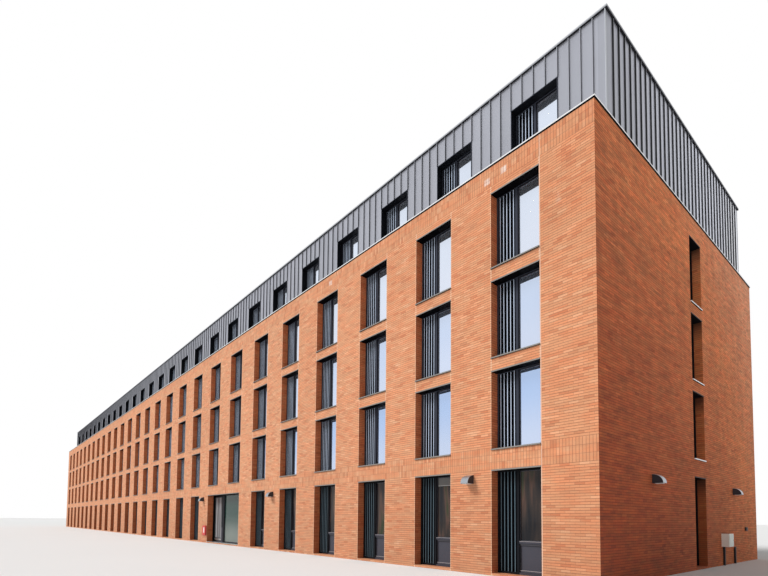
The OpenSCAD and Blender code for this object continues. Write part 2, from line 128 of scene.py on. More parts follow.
FLOOR_REACH = 60.0
SKY_FILL = 0.36
SUN_STRENGTH, SUN_WIDTH = 3.3, math.radians(24.0)
SUN_FROM = Vector((-0.41, -0.58, 0.70))
CAMERA_RIGHT_OF_END, CAMERA_BEFORE_FRONT, CAMERA_HEIGHT = 0.5602, 1.2000, 0.1659
HEADING, PITCH, ROLL = 2.43406, 0.0511, 0.00915
SENSOR, LENS, SHIFT_X, SHIFT_Y = 36.0, 22.360, 0.0011, 0.2701
VIEW_NEAR, VIEW_FAR = 0.01, 200.0


# Sizes and colours


def length(name, text, default):
    return FloatProperty(name=name, description=text, default=default, min=0.0, unit="LENGTH")


def count(name, text, default):
    return IntProperty(name=name, description=text, default=default)


def colour(name, text, default):
    return FloatVectorProperty(
        name=name, description=text, default=default, size=3, min=0.0, max=1.0, subtype="COLOR"
    )


class BlockSizes(PropertyGroup):
    """Sizes that the block's finishes and small parts share"""

    bay_count: count("Bays", "Window bays along the front", 27)
    bay: length("Bay", "Width of one bay", 0.335)
    window_w: length("Window width", "Width of a window opening", 0.169)
    corner_pier: length("Corner pier", "Width of the pier at each end of the front", 0.1635)
    course: length("Course", "Height of one brick course", 0.0075)
    joint: length("Joint", "Width of a mortar joint", 0.001)
    frame_w: length("Frame width", "Width of a window frame member", 0.007)
    post_w: length("Post width", "Width of a window's centre post", 0.009)
    fin_w: length("Fin width", "Width of one fin", 0.0035)
    fin_count: count("Fins", "Fins in a window", 5)
    stretchers: count("Stretchers", "Stretchers in one bay", 12)
    ground_courses: count("Ground head", "Courses up to the head of the ground floor", 43)
    sill_courses: count("First sill", "Courses up to the first-floor sills", 51)
    storey_courses: count("Storey", "Courses in a storey", 38)
    window_courses: count("Window", "Courses in a window", 33)


class BlockColours(PropertyGroup):
    """Colours of the block's finishes"""

    brick: colour("Brick", "Middle tone of the brick", (0.68, 0.295, 0.148))
    brick_dark: colour("Dark brick", "Darkest bricks", (0.58, 0.222, 0.108))
    brick_pale: colour("Pale brick", "Palest bricks", (0.75, 0.365, 0.198))
    # Mortar's own colour, deepened with painted shade of the raked joints
    mortar: colour("Mortar", "Mortar in the joints", (0.30, 0.125, 0.075))
    zinc: colour("Zinc", "Standing-seam cladding", (0.365, 0.375, 0.42))
    trim: colour("Trim", "Flashing and gable sills", (0.86, 0.86, 0.87))
    coping: colour("Coping", "Capping along the roof edge", (0.30, 0.31, 0.335))
    edge_trim: colour("Edge trim", "Front edges of sills and lintel plates", (0.27, 0.25, 0.23))
    # Ground-floor frames, their own dark colour deepened with painted shade
    shaded_low_frame: colour("Low frames", "Frames of the ground-floor units", (0.009, 0.010, 0.013))
    anthracite: colour("Anthracite", "Frames of the upper windows", (0.042, 0.047, 0.064))
    # Painted sky reflection in the upper windows
    glass: colour("Glass", "Upper windows", (0.70, 0.765, 0.88))
    # Painted reflection of dark surroundings in the ground-floor windows
    dark_reflection: colour("Dark glass", "Ground-floor windows", (0.034, 0.025, 0.022))
    # One fin edge colour in painted shade below, and in painted light above
    shaded_low_fin: colour("Low fins", "Front edges of the ground-floor fins", (0.085, 0.13, 0.16))
    fin: colour("Fins", "Front edges of the upper fins", (0.50, 0.58, 0.72))
    # Painted shade on the fins' sides and backing
    fin_shade: colour("Fin sides", "Sides of the fins and their backing", (0.010, 0.011, 0.015))
    panel: colour("Panels", "Solid panels under the glass", (0.060, 0.060, 0.076))
    sealant: colour("Sealant", "Movement joint in the brickwork", (0.80, 0.52, 0.38))
    concrete: colour("Concrete", "Floors and inner walls", (0.55, 0.54, 0.52))
    floor: colour("Floor", "Pale studio floor", (0.74, 0.74, 0.735))


def sizes():
    return bpy.context.scene.block_sizes


def colours():
    return bpy.context.scene.block_colours


def right_jamb(bay):
    s = sizes()
    return RIGHT_END - s.corner_pier - (bay - 1) * s.bay


def left_jamb(bay):
    return right_jamb(bay) - sizes().window_w


def sill_height(storey):
    s = sizes()
    return s.course * (1 if storey == 0 else s.sill_courses + (storey - 1) * s.storey_courses)


def head_height(storey):
    s = sizes()
    if storey == 0:
        return s.course * s.ground_courses
    return sill_height(storey) + s.course * s.window_courses


def upper_share(z):
    """0 on the ground floor, 1 from the first-floor sills up"""
    return z.smooth(head_height(0), sill_height(1))


# Materials


def shader_operation(operation, turned=False):
    """A method that adds one Math node; turned puts the other value first"""

    def method(self, *others):
        return self.finish.math(operation, *((*others, self) if turned else (self, *others)))

    return method


class Number:
    """A shader value on which arithmetic adds Math nodes"""

    def __init__(self, finish, socket):
        self.finish = finish
        self.socket = socket

    __add__ = __radd__ = shader_operation("ADD")
    __sub__ = shader_operation("SUBTRACT")
    __rsub__ = shader_operation("SUBTRACT", turned=True)
    __mul__ = __rmul__ = shader_operation("MULTIPLY")
    __truediv__ = shader_operation("DIVIDE")
    __gt__ = shader_operation("GREATER_THAN")
    __lt__ = shader_operation("LESS_THAN")
    floor = shader_operation("FLOOR")
    fraction = shader_operation("FRACT")
    size = shader_operation("ABSOLUTE")
    lesser = shader_operation("MINIMUM")
    greater = shader_operation("MAXIMUM")

    def smooth(self, low, high):
        """0 at low and below, 1 at high and above"""
        values = {"Value": self, "From Min": low, "From Max": high}
        return self.finish.node("MapRange", values, interpolation_type="SMOOTHSTEP")


class Finish:
    """One material or world, built as a node tree"""

    def __init__(self, name, kind="materials"):
        self.owner = getattr(bpy.data, kind).new(name)
        self.owner.use_nodes = True
        self.tree = self.owner.node_tree
        self.tree.nodes.clear()
        self.where = self.node("TexCoord", output="Object")

    def feed(self, socket, value):
        if isinstance(value, Number):
            value = value.socket
        if isinstance(value, bpy.types.NodeSocket):
            self.tree.links.new(value, socket)
        elif socket.type == "RGBA" and len(value) == 3:
            socket.default_value = (*value, 1.0)
        else:
            socket.default_value = value

    def node(self, kind, values=None, output=0, **settings):
        """Adds a node, sets it up and feeds its sockets, and gives the wanted output"""
        made = self.tree.nodes.new("ShaderNode" + kind)
        for key, value in settings.items():
            setattr(made, key, value)
        for key, value in (values or {}).items():
            self.feed(made.inputs[key], value)
        result = made.outputs[output]
        return Number(self, result) if result.type == "VALUE" else result

    def math(self, operation, *values):
        return self.node("Math", dict(enumerate(values)), operation=operation)

    def mix(self, factor, first, second):
        """A colour between first and second"""
        return self.node("Mix", {0: factor, 6: first, 7: second}, 2, data_type="RGBA")

    def ramp(self, factor, *stops):
        """A colour that runs through the given places and tints"""
        shade = self.node("ValToRGB", {0: factor})
        elements = shade.node.color_ramp.elements
        for _ in stops[2:]:
            elements.new(1.0)
        for element, (place, tint) in zip(elements, stops):
            element.position = place
            element.color = (*tint, 1.0)
        return shade

    def vector(self, *parts):
        return self.node("CombineXYZ", dict(enumerate(parts)))

    def product(self, first, second):
        """Two vectors or colours multiplied part by part"""
        return self.node("VectorMath", {0: first, 1: second}, operation="MULTIPLY")

    def tone(self, tint, factor):
        """A colour made darker or lighter by a shader value"""
        return self.product(tint, self.vector(factor, factor, factor))

    def split(self, vector):
        parts = self.tree.nodes.new("ShaderNodeSeparateXYZ")
        self.feed(parts.inputs[0], vector)
        return [Number(self, part) for part in parts.outputs]

    def position(self):
        return self.split(self.where)

    def normal(self):
        return self.split(self.node("NewGeometry", output="Normal"))

    def noise(self, scale, detail=2.0, roughness=0.5, stretch=None):
        """Noise over the object; stretch scales each direction first, for streaks and grain"""
        where = self.product(self.where, stretch) if stretch else self.where
        values = {"Vector": where, "Scale": scale, "Detail": detail, "Roughness": roughness}
        return self.node("TexNoise", values)

    def chance(self, cell):
        """A value from 0 to 1 that is the same all over a cell"""
        return self.node("TexWhiteNoise", {"Vector": cell}, noise_dimensions="3D")

    def end(self, kind, shader):
        output = self.tree.nodes.new("ShaderNodeOutput" + kind)
        self.feed(output.inputs["Surface"], shader)
        return self.owner

    def surface(self, tint, roughness, relief=None, metallic=0.0, gloss=0.5):
        """Ends a material; relief is the height, distance and strength of a bump"""
        values = {
            "Base Color": tint, "Roughness": roughness,
            "Metallic": metallic, "Specular IOR Level": gloss,
        }
        if relief:
            sockets = ("Height", "Distance", "Strength")
            values["Normal"] = self.node("Bump", dict(zip(sockets, relief)))
        return self.end("Material", self.node("BsdfPrincipled", values))

    def coating(self, tint, roughness, gloss=0.5):
        """Ends a material as powder coat with a fine orange-peel and a little dust"""
        dust, peel = self.noise(14.0, 4.0), self.noise(1400.0, 1.0)
        return self.surface(
            self.tone(tint, 0.9 + dust * 0.2), roughness + dust * 0.12, (peel, 0.00006, 0.4),
            gloss=gloss,
        )

    def folded_sheet(self, tint, metallic):
        """Ends a material as folded sheet with a little dust and shallow dents"""
        dust = self.noise(14.0, 4.0)
        return self.surface(
            self.tone(tint, 0.92 + dust * 0.16), 0.42 + dust * 0.12, (dust, 0.0004, 0.3),
            metallic, 0.02,
        )


def soldier_mask(row):
    """1 on the three rows of upright bricks over the ground floor and under the brick top"""
    s = sizes()
    top = round(BRICK_TOP / s.course)
    over_ground = (row > s.ground_courses - 0.5) * (row < s.ground_courses + 8.5)
    return over_ground + (row > top - 9.5) * (row < top - 0.5)


def past_jamb(x):
    """Distance to the left of the last right-hand jamb, from 0 to the width of a bay"""
    s = sizes()
    return (((RIGHT_END - s.corner_pier) - x) / s.bay).fraction() * s.bay


def in_storey(z):
    """Height over the last upper sill row, as a share of a storey"""
    s = sizes()
    return ((z - sill_height(1)) / (s.storey_courses * s.course)).fraction()


def under_recess_head(z):
    """Distance down from the head of the gable's opening at this height"""
    s = sizes()
    low = head_height(0) + s.course - z
    high = s.window_courses * s.course + s.course - in_storey(z) * (s.storey_courses * s.course)
    return low + (z > sill_height(1)) * (high - low)


def brick():
    """Stretcher bond with rows of soldiers, true to scale and wrapped round every corner, with
    painted light and shade on the gable, its recess and the reveals, and painted highlights on the
    arrises
    """
    s, c = sizes(), colours()
    finish = Finish("brickwork")
    x, y, z = finish.position()
    facing_x, _, facing_up = finish.normal()
    sideways, level = facing_x.size() > 0.5, facing_up.size() > 0.5
    inside = (y > FRONT_FACE + JOINT_OUT) * (y < REAR_FACE - JOINT_OUT)
    in_recess = inside * (x > RIGHT_END - WALL - JOINT_OUT)
    # Painted shade falls on the faces that face right and on the gable's recess
    shaded = (facing_x > 0.5).greater(in_recess)
    on_end = (facing_x > 0.5) * (x > RIGHT_END - JOINT_OUT)

    from_corner = x * -1 + (RIGHT_END - s.corner_pier)
    along = from_corner + sideways * (y - from_corner)
    up = (z + level * (y - z)) / s.course
    row = (up + 0.001).floor()
    upright = soldier_mask(row) * (1 - level) * (1 - inside)
    stretcher = s.bay / s.stretchers
    soldier = stretcher / 3
    across = along / stretcher + (row * 0.5).fraction()
    across = across + upright * (along / soldier - across)
    up = up + upright * ((up - s.ground_courses) / 3 - up)
    unit_w = stretcher + upright * (soldier - stretcher)
    unit_h = s.course + upright * (2 * s.course)
    in_across, in_up = across.fraction(), up.fraction()
    joint_edge = (0.36 * s.joint, 0.66 * s.joint)
    no_bed = (in_up.lesser(1 - in_up) * unit_h).smooth(*joint_edge)
    no_perpend = (in_across.lesser(1 - in_across) * unit_w).smooth(*joint_edge)
    # Bed joints darker than perpends: painted shade in the raked bed joints
    bed_share, perpend_share = 1 - upright * 0.45, 0.42 + upright * 0.44
    face = (1 - bed_share * (1 - no_bed)) * (1 - perpend_share * (1 - no_perpend))

    cell = finish.vector(across.floor(), up.floor() + upright * 400, sideways * 7)
    second = finish.chance(finish.product(cell, (1.7, 2.3, 1.0)))
    clay = finish.ramp(
        finish.chance(cell), (0.0, c.brick_dark), (0.05, c.brick_dark), (0.20, c.brick),
        (0.82, c.brick), (1.0, c.brick_pale),
    )
    rise, far = z / BRICK_TOP, (y - FRONT_FACE) / (REAR_FACE - FRONT_FACE)
    patches = finish.noise(3.2, 3.0)
    batches = finish.noise(9.0, 2.0, stretch=(1.0, 1.0, 9.0))
    grain = finish.noise(900.0, 3.0, stretch=(1.0, 1.0, 3.0))
    veil = finish.noise(26.0, 3.0, stretch=(1.0, 1.0, 0.15))
    uneven = patches * 0.20 + batches * 0.34 + second * 0.09 + grain * 0.10 - 0.365
    lightness = 1.005 + uneven * (1 + on_end * (2.1 - far * 1.5)) + on_end * (veil - 0.5) * 0.4
    lightness = lightness * (0.85 + z.smooth(0.0, sill_height(1)) * 0.16) * (1 - upright * 0.05)
    clay = finish.tone(clay, lightness)
    drift = finish.noise(14.0, 2.0, stretch=(1.0, 1.0, 4.0)).smooth(0.36, 0.64)
    clay = finish.product(clay, finish.mix(drift, (1.03, 0.94, 0.91), (0.98, 1.04, 1.07)))
    bloom = finish.noise(5.0, 5.0, 0.65, stretch=(1.6, 1.6, 1.0)).smooth(0.66, 0.80)
    clay = finish.mix(bloom * second * 0.45, clay, (0.78, 0.62, 0.52))
    for back, drop in SALT_SPOTS:
        off = (x - (RIGHT_END - back)).size() / SALT_W
        off = off.greater((z - (BRICK_TOP - drop)).size() / SALT_H)
        salt = (1 - off.smooth(0.7, 1.1)) * (0.35 + second * 0.4)
        clay = finish.mix(salt, clay, (0.86, 0.74, 0.66))
    # The mortar's own dark colour, deepened with painted shade of the raked joints
    mortar = finish.tone(c.mortar, 0.85 + patches * 0.3)
    wall = finish.mix(face, finish.mix(on_end, mortar, finish.tone(clay, 0.36)), clay)
    # Painted highlight along the arrises of the piers and jambs
    from_arris = past_jamb(x)
    from_arris = from_arris.lesser((from_arris - s.window_w).size()).lesser(s.bay - from_arris)
    arris_highlight = (1 - from_arris.smooth(0.0015, 0.0032)) * (1 - inside) * (1 - upright) * face
    wall = finish.mix(arris_highlight * 0.5, wall, (0.90, 0.62, 0.42))

    # Painted light on the gable end grows towards its far end and its top
    further, higher = far * (far * 0.8 + 0.2), rise * (rise * 0.75 + 0.25)
    light = further * 0.54 + higher * 0.46
    near, middle, top = END_LIGHT_AND_SHADE
    end = finish.mix(light * 2 - 1, finish.mix(light * 2, near, middle), top)
    # Painted shade on the reveals that face right
    reveal_shade = finish.tone(REVEAL_SHADE_TINT, 0.88 + rise * 0.22)
    shade = finish.mix(on_end.greater(in_recess), reveal_shade, end)
    wall = finish.mix(shaded, wall, finish.product(wall, shade))
    # Painted light: paler and bluer away from the right-hand end
    distant_light = ((RIGHT_END - x) / DISTANT_REACH).lesser(1) * (1 - shaded)
    wall = finish.mix(distant_light, wall, finish.product(wall, DISTANT_LIGHT_TINT))
    # Painted shade under the heads inside the gable's recess, which is painted a little lighter
    # elsewhere
    recess_head_shade = in_recess * (facing_x < 0.5) * (1 - under_recess_head(z).smooth(-0.01, 0.10))
    wall = finish.tone(wall, 1 + in_recess * 0.08 - recess_head_shade * 0.92)
    relief = face + grain * 0.12 + second * 0.25
    return finish.surface(wall, 0.93 - face * 0.1, (relief, 0.0005, 0.8))


def zinc(name, gable):
    """Standing-seam sheet whose pans differ a little, with faint streaks of rain, painted light
    across the pans and painted shade on and beside the seams
    """
    s, c = sizes(), colours()
    finish = Finish(name)
    x, y, _ = finish.position()
    facing_x, facing_y, _ = finish.normal()
    if gable:
        # Painted light grows towards the rear of the gable, and painted shadow falls beside each
        # seam
        low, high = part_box("roof_slab")
        across = (y - low.y) / ((high.y - low.y) / GABLE_PANS)
        seam_side, seam_shade, slope = facing_y.size() > 0.5, 0.95, 0.20
        seam_shadow = across.fraction().smooth(0.74, 1.0)
        light = ((y - FRONT_FACE) * 1.20 + 0.93) * (1 - seam_shadow * 0.6)
    else:
        left = past_jamb(x)
        over_window = left / (s.window_w / PANS)
        over_pier = PANS + (left - s.window_w) / ((s.bay - s.window_w) / PANS)
        across = over_window + (left > s.window_w) * (over_pier - over_window)
        across = across + ((RIGHT_END - s.corner_pier - x) / s.bay).floor() * (2 * PANS)
        # Painted shade on the seam sides; painted light makes the front's pans paler
        seam_side, seam_shade, slope = facing_x.size() > 0.5, 0.86, -0.07
        light = 1.17
    batch = finish.chance(finish.vector(across.floor(), float(gable)))
    streaks = finish.noise(2.0, 3.0, stretch=(60.0, 60.0, 2.0))
    cloud = finish.noise(6.0, 3.0)
    ripple = finish.noise(28.0, 1.0, stretch=(1.0, 1.0, 0.4))
    # slope paints light across each pan
    tone = 0.82 + batch * 0.10 + streaks * 0.14 + cloud * 0.14 + (across.fraction() - 0.5) * slope
    tone = tone * (1 - seam_side * seam_shade) * light
    return finish.surface(
        finish.tone(c.zinc, tone), 0.40 + streaks * 0.2, (ripple, 0.0012, 0.35),
        0.7 - seam_side * 0.6,
    )


def edged_metal(name, face, soffit_shade, metallic=0.0, rim_highlight=None):
    """Folded metal with painted shade on its underside, and with a painted highlight on its upper
    rim and its top if one is given
    """
    finish = Finish(name)
    _, _, up = finish.normal()
    if rim_highlight:
        _, _, z = finish.position()
        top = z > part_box("roof_coping")[1].z - COPING_HIGHLIGHT
        face = finish.mix(top.greater(up > 0.5), face, rim_highlight)
    return finish.folded_sheet(finish.mix(up < -0.5, face, soffit_shade), metallic)


def gable_trim_coating():
    """Pale sills and dark lintel plates of the gable's recess, with painted shade on their
    undersides
    """
    finish = Finish("gable_trim_coating")
    _, _, z = finish.position()
    _, _, up = finish.normal()
    lintel = in_storey(z) > 0.5
    tint = finish.mix(lintel, colours().trim, (0.13, 0.10, 0.095))
    return finish.folded_sheet(finish.mix(up < -0.5, tint, UNDERSIDE_SHADE), (1 - lintel) * 0.6)


def lit_fin_coating():
    """Coating of the fins' front edges, with painted light that makes them paler in the upper
    storeys and painted shade on their sides
    """
    c = colours()
    finish = Finish("fin_edge_light_and_shade")
    _, _, z = finish.position()
    side, _, _ = finish.normal()
    # Painted light makes the upper fins paler; painted shade darkens their sides
    tint = finish.mix(upper_share(z), c.shaded_low_fin, c.fin)
    tint = finish.mix(side.size().smooth(0.35, 0.85), tint, c.fin_shade)
    return finish.coating(tint, 0.35, 0.3)


def shaded_frame_coating():
    """Frames blue-grey above and near black on the ground floor, with painted shade on the ground
    floor and darkest painted shade on their inner sides
    """
    s, c = sizes(), colours()
    finish = Finish("shaded_frame_coating")
    x, _, z = finish.position()
    _, facing, _ = finish.normal()
    tint = finish.mix(upper_share(z), c.shaded_low_frame, c.anthracite)
    round_panel = past_jamb(x) < (1 - FIN_SHARE) * s.window_w - s.post_w / 2
    round_panel = round_panel * (z < sill_height(0) + MID_RAIL + s.frame_w)
    tint = finish.mix(round_panel, tint, c.panel)
    # Painted shade on the sides that face neither front nor rear
    return finish.coating(finish.tone(tint, 0.18 + (facing.size() > 0.5) * 0.82), 0.42, 0.08)


def panel_coating_with_shade():
    """Near-black fin panels in painted shade, and paler solid panels under the ground-floor glass
    """
    c = colours()
    finish = Finish("panel_coating_with_shade")
    x, _, _ = finish.position()
    under_glass = past_jamb(x) < (1 - FIN_SHARE) * sizes().window_w
    # The fin panels carry painted shade
    return finish.coating(finish.mix(under_glass, c.fin_shade, c.panel), 0.40, 0.2)


def coated(name, tint, roughness, gloss=0.5):
    """Powder-coated metal of one colour"""
    return Finish(name).coating(tint, roughness, gloss)


def bare_metal(name, tint, roughness):
    """Brushed or galvanised metal"""
    finish = Finish(name)
    grain = finish.noise(1500.0, 2.0, stretch=(1.0, 1.0, 0.05))
    return finish.surface(
        finish.tone(tint, 0.88 + grain * 0.24), roughness + grain * 0.15, (grain, 0.00004, 0.5), 0.9
    )


def glazing():
    """Coated glass with painted reflections: pale sky in the upper windows, dark surroundings in
    the ground floor's
    """
    s, c = sizes(), colours()
    finish = Finish("window_glass")
    x, y, z = finish.position()
    upper = upper_share(z)
    veil = finish.noise(5.0, 2.0, stretch=(1.0, 1.0, 0.5))
    # Painted sky reflection, bluer lower down and paler at the foot of each storey
    sky = finish.mix(z.smooth(sill_height(1), head_height(3)), (0.40, 0.55, 0.84), c.glass)
    foot = 1 - in_storey(z).smooth(0.0, 0.75)
    sky = finish.mix(foot * 0.5, sky, (0.80, 0.82, 0.90))
    sky = finish.tone(sky, 0.93 + veil * 0.14)
    # Painted reflection of dark surroundings, with the blind and the entrance screen mixed in below
    low_glass_reflection = finish.ramp(
        finish.noise(34.0, 2.0, stretch=(1.0, 1.0, 0.12)), (0.36, (0.010, 0.010, 0.013)),
        (0.50, c.dark_reflection), (0.58, (0.085, 0.046, 0.034)), (0.68, (0.030, 0.040, 0.018)),
    )

    def within(right_bay, left_bay):
        return (x < right_jamb(right_bay)) * (x > left_jamb(left_bay)) * (1 - upper)

    blind_foot = head_height(0) - s.frame_w - BLIND_DROP
    blind = within(BLIND_BAY, BLIND_BAY) * (z > blind_foot)
    low_glass_reflection = finish.mix(blind, low_glass_reflection, (0.16, 0.155, 0.15))
    low_glass_reflection = finish.mix(blind * (z < blind_foot + BEAD_W), low_glass_reflection, (0.45, 0.45, 0.44))
    lit = finish.mix(z.smooth(0.05, 0.20), (0.17, 0.20, 0.18), (0.012, 0.042, 0.032))
    low_glass_reflection = finish.mix(within(*ENTRANCE_BAYS) * (y < 0), low_glass_reflection, finish.tone(lit, 0.7 + veil * 0.6))
    return finish.surface(
        finish.mix(upper, low_glass_reflection, sky), 0.035, (finish.noise(9.0, 1.0), 0.002, 0.15),
        upper * 0.88, 0.25,
    )


def dim_glass():
    """Glass of the gable windows, painted near black as the shade of the unlit passages behind them
    """
    finish = Finish("dim_glass")
    cloud = finish.noise(8.0, 2.0)
    return finish.surface(
        finish.tone(RECESS_SHADE, 0.8 + cloud * 0.4), 0.22, (cloud, 0.002, 0.15), gloss=0.12
    )


def curtained_glass():
    """Glass of the entrance door, with the pale folds that show through it"""
    finish = Finish("door_glass")
    tint = finish.ramp(
        finish.noise(46.0, 2.0, stretch=(1.0, 1.0, 0.03)), (0.36, (0.06, 0.065, 0.07)),
        (0.50, (0.20, 0.21, 0.22)), (0.62, (0.42, 0.43, 0.44)),
    )
    return finish.surface(tint, 0.05, (finish.noise(9.0, 1.0), 0.002, 0.15))


def meter_finish():
    """Pale cabinet paint on the box, black on the duct, the pipe and the vent"""
    finish = Finish("meter_finish")
    _, y, z = finish.position()
    low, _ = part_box("meter_box")
    foot = low.z + METER_FOOT
    on_box = (z > foot) * (z < foot + METER_H) * (y < low.y + METER_W)
    return finish.coating(finish.mix(on_box, DUCT_BLACK, (0.97, 0.98, 0.92)), 0.45)


def frosted_lens():
    """Pale diffuser of a lamp"""
    finish = Finish("frosted_lens")
    cloud = finish.noise(200.0, 2.0)
    return finish.surface(finish.tone((0.80, 0.80, 0.78), 0.92 + cloud * 0.12), 0.35 + cloud * 0.2)


def mineral(name, tint, scale):
    """Concrete or roofing felt"""
    finish = Finish(name)
    grit = finish.noise(scale, 3.0)
    tone = 0.78 + finish.noise(4.0, 5.0) * 0.28 + grit * 0.16
    return finish.surface(finish.tone(tint, tone), 0.92, (grit, 0.0006, 0.6))


def pale_floor():
    """Pale matte floor"""
    finish = Finish("studio_floor")
    cloud = finish.noise(0.8, 2.0)
    return finish.surface(finish.tone(colours().floor, 0.98 + cloud * 0.04), 0.9)


def dress(material, *names):
    """Gives CAD nodes one material"""
    for name in names:
        slots = NODES[name].data.materials
        slots.clear()
        slots.append(material)


# Making pieces


def linked(name, data):
    """A new object of the scene"""
    made = bpy.data.objects.new(name, data)
    bpy.context.scene.collection.objects.link(made)
    return made


def solid(name, bm, material):
    """A new object made of a bmesh, in one material"""
    mesh = bpy.data.meshes.new(name)
    bm.to_mesh(mesh)
    bm.free()
    mesh.materials.append(material)
    return linked(name, mesh)


def gather(parts):
    """One bmesh that holds all of the given ones"""
    joined = bmesh.new()
    for part in parts:
        mesh = bpy.data.meshes.new("part")
        part.to_mesh(mesh)
        part.free()
        joined.from_mesh(mesh)
        bpy.data.meshes.remove(mesh)
    return joined


def piece(name, parts, material, body="building"):
    """Makes an object of bmeshes and lets it ride on a body of the frame"""
    made = solid(name, gather(parts), material)
    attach(made, body)


def moved(bm, matrix):
    bmesh.ops.transform(bm, matrix=matrix, verts=bm.verts[:])
    return bm


def face_outwards(bm):
    bmesh.ops.recalc_face_normals(bm, faces=bm.faces[:])


def mirrored(bm, axis, middle):
    """The bmesh mirrored across the middle of an axis"""
    across = Vector([float(k == axis) for k in range(3)])
    there, back = Matrix.Translation(middle * across), Matrix.Translation(-middle * across)
    moved(bm, there @ Matrix.Scale(-1, 4, across) @ back)
    bmesh.ops.reverse_faces(bm, faces=bm.faces[:])
    return bm


def to_rear(bm):
    return mirrored(bm, 1, (FRONT_FACE + REAR_FACE) / 2)


def with_rear(bm):
    return [to_rear(bm.copy()), bm]


def with_left(bm):
    return [bm, mirrored(bm.copy(), 0, (LEFT_END + RIGHT_END) / 2)]


def on_gable(y=0.0):
    """Turns what is drawn against the front at x = 0 on to the right-hand gable at y"""
    place = (RIGHT_END, FRONT_FACE + y, 0)
    return Matrix.Translation(place) @ Matrix.Rotation(QUARTER_TURN, 4, "Z")


def box_mesh(low, high):
    """A bmesh of one box from its low to its high corner"""
    bm = bmesh.new()
    low, high = Vector(low), Vector(high)
    spread = Matrix.Diagonal((*(high - low), 1.0))
    bmesh.ops.create_cube(bm, size=1.0, matrix=Matrix.Translation((low + high) / 2) @ spread)
    return bm


def rounded(bm, edges, width):
    bmesh.ops.bevel(
        bm, geom=edges, offset=width, segments=2, profile=0.5, affect="EDGES", material=-1
    )
    return bm


def softened(low, high, width=SOFT):
    """A box with all its edges a little rounded"""
    bm = box_mesh(low, high)
    return rounded(bm, bm.edges[:], width)


def rounded_bar(low, high, width):
    """A bar whose two upright edges on the front are rounded"""
    bm = box_mesh(low, high)
    front = min(v.co.y for v in bm.verts)
    edges = [
        e for e in bm.edges
        if all(abs(v.co.y - front) < 1e-6 for v in e.verts)
        and abs(e.verts[0].co.z - e.verts[1].co.z) > 1e-6
    ]
    return rounded(bm, edges, width)


def ring(low, high, width, front, back):
    """A flat ring round a rectangle seen from the front"""
    (x0, z0), (x1, z1) = low, high
    bm = bmesh.new()
    centre = Vector(((x0 + x1) / 2, back, (z0 + z1) / 2))
    spread = Matrix.Diagonal(((x1 - x0) / 2, (z1 - z0) / 2, 1.0, 1.0))
    upright = Matrix.Translation(centre) @ Matrix.Rotation(QUARTER_TURN, 4, "X")
    bmesh.ops.create_grid(bm, x_segments=1, y_segments=1, size=1.0, matrix=upright @ spread)
    bmesh.ops.inset_region(
        bm, faces=bm.faces[:], thickness=width, use_boundary=True, use_even_offset=True
    )
    inner = min(bm.faces, key=lambda f: (f.calc_center_median() - centre).length)
    bmesh.ops.delete(bm, geom=[inner], context="FACES")
    grown = bmesh.ops.extrude_face_region(bm, geom=bm.faces[:])
    verts = [v for v in grown["geom"] if isinstance(v, bmesh.types.BMVert)]
    bmesh.ops.translate(bm, verts=verts, vec=(0, front - back, 0))
    face_outwards(bm)
    return bm


def bead(low, high, face):
    """A glazing bead in front of the face of a pane"""
    return ring(low, high, BEAD_W, face - BEAD_T, face)


def windows(*storeys, entrance=False):
    """Storey and bay of each window of one side, with or without room for an entrance"""
    return [
        (storey, bay) for storey in storeys for bay in range(1, sizes().bay_count + 1)
        if not (entrance and storey == 0 and bay in ENTRANCE_BAYS)
    ]


def window_heights(storey):
    """Foot and head of the opening of a window frame"""
    frame_w = sizes().frame_w
    if storey == ATTIC:
        return ATTIC_FOOT + frame_w, ATTIC_HEAD - frame_w
    return sill_height(storey) + frame_w, head_height(storey) - frame_w


def pane_sides(bay):
    """Left and right side of the glass beside a window's post"""
    s = sizes()
    left = left_jamb(bay) + FIN_SHARE * s.window_w + s.post_w / 2
    return left, right_jamb(bay) - s.frame_w


def upright_fins(windows, front, back):
    """One rounded bar for each fin of the given windows"""
    s = sizes()
    pitch = (FIN_SHARE * s.window_w - s.post_w / 2 - s.frame_w) / s.fin_count
    bars = []
    for storey, bay in windows:
        foot, head = window_heights(storey)
        for k in range(s.fin_count):
            x = left_jamb(bay) + s.frame_w + (k + 0.5) * pitch
            low, high = (x - s.fin_w / 2, front, foot), (x + s.fin_w / 2, back, head)
            bars.append(rounded_bar(low, high, 0.8 * FIN_EDGE))
    return bars


def beads(windows, face, with_panel=False):
    """A bead round the glass of each window, and round the ground floor's panels if wished"""
    rings = []
    for storey, bay in windows:
        foot, head = window_heights(storey)
        left, right = pane_sides(bay)
        heights = [(foot, head)]
        if storey == 0:
            rail = sill_height(0) + MID_RAIL
            heights = [(rail + sizes().frame_w, head)]
            if with_panel:
                heights.insert(0, (foot, rail))
        for low, high in heights:
            rings.append(bead((left, low), (right, high), face))
    return rings


def recess_heights():
    """Foot and head of each opening of the gable's recess"""
    lift = sizes().course
    return [(sill_height(n) + lift * (n > 0), head_height(n) + lift) for n in BRICK_STOREYS]


